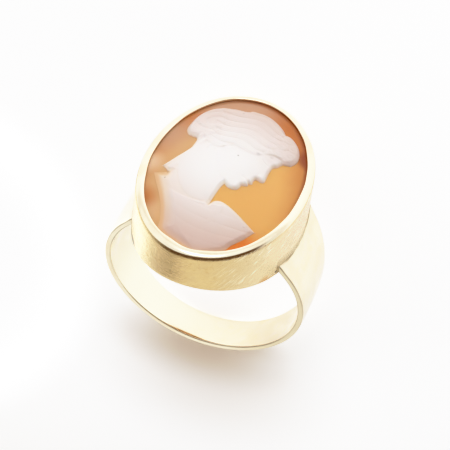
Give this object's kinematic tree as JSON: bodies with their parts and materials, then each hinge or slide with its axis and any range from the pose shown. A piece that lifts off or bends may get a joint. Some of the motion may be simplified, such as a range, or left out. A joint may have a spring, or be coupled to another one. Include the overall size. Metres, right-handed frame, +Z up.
{
  "type": "cameo ring",
  "caption": "Finger ring with a tapering gold band soldered to an oval gold bezel, holding a domed shell cameo with a raised profile bust; lies on its side.",
  "frame": {"origin": "middle of the bounding box at the surface that the ring lies on", "axes": "+Z up from the surface; the stone looks toward -Y and up, its head end down; +X across the finger hole; the ring lies on its side, so the finger hole's axis leans from +Z toward +Y"},
  "size_m": [0.0177, 0.0222, 0.0189],
  "materials": {
    "gold": "polished yellow gold, the bezel's wall brushed",
    "orange_shell": "polished translucent orange shell",
    "white_shell": "satin white shell, carved"
  },
  "bodies": {
    "root": {"gold_mount": "gold", "cameo_ground": "orange_shell", "cameo_figure": "white_shell"}
  },
  "joints": []
}
